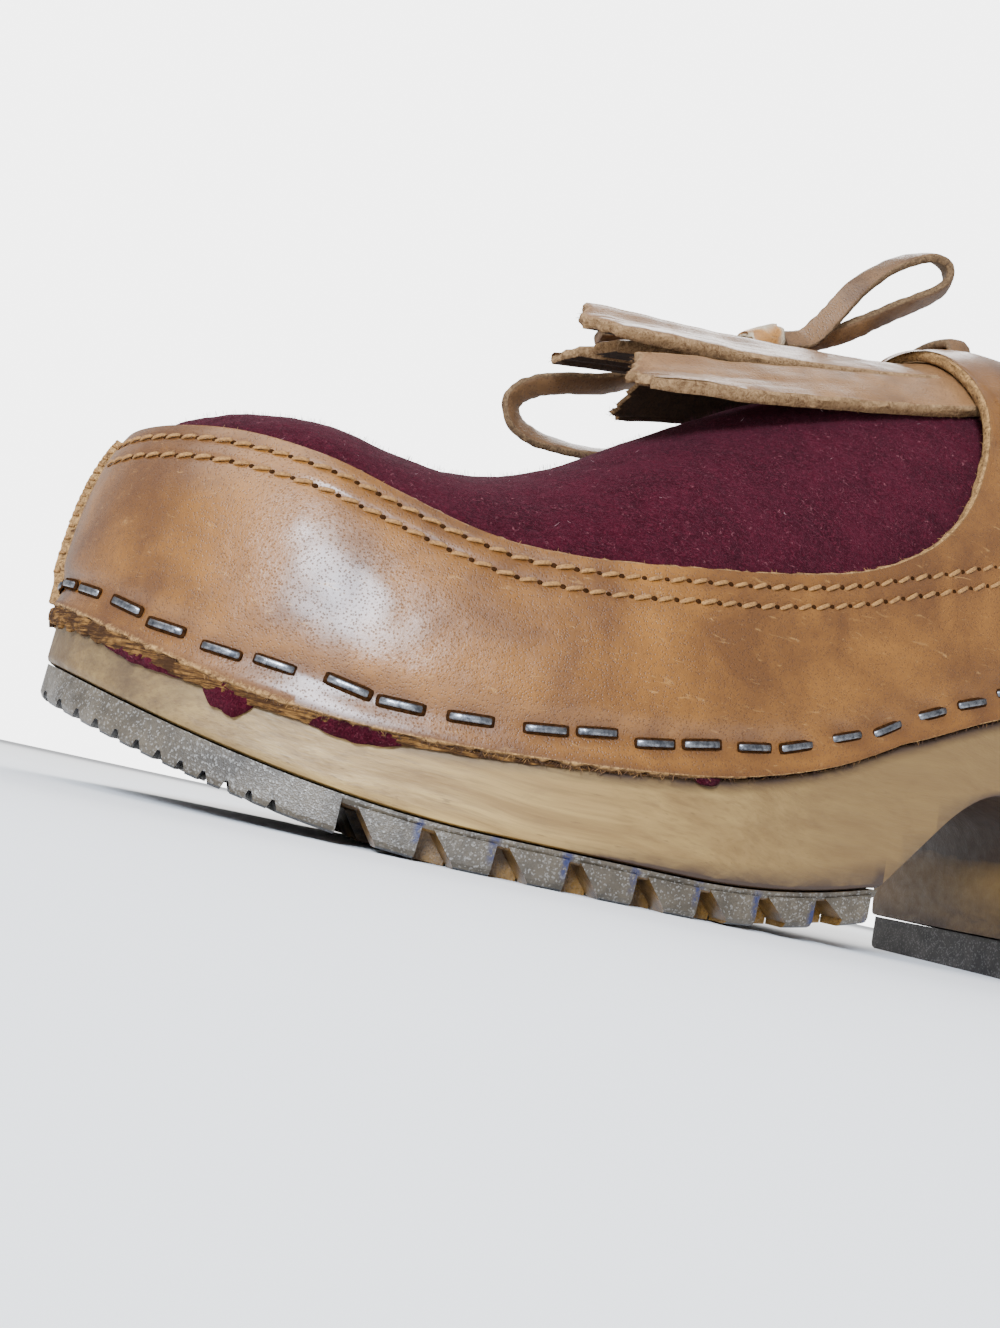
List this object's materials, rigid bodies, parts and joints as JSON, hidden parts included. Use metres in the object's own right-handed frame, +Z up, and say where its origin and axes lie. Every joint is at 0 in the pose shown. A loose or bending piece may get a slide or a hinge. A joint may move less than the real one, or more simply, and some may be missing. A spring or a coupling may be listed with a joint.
{
  "type": "danish clog",
  "caption": "Open-backed clog: carved wooden sole, rubber treads, wool felt vamp, leather rand with a window, leather fringe and a lace tied in a bow.",
  "frame": {"origin": "on the floor, under the middle of the shoe's box without its free lace", "axes": "+X from the toe to the heel, +Y to the shoe's inner side, +Z up"},
  "size_m": [0.2588, 0.103, 0.1663],
  "materials": {
    "wood": "bare sanded wood",
    "rubber": "satin",
    "felt": "napped wool felt",
    "leather": "waxed, half gloss",
    "lace": "waxed, half gloss"
  },
  "bodies": {
    "root": {"wood_sole": "wood", "forefoot_tread": "rubber", "heel_tread": "rubber", "felt_vamp": "felt", "leather_rand": "leather", "fringe": "leather", "lace_bar": "lace", "lace_knot": "lace", "lace_loop_rear": "lace", "lace_loop_front": "lace", "lace_end": "lace"}
  },
  "joints": []
}
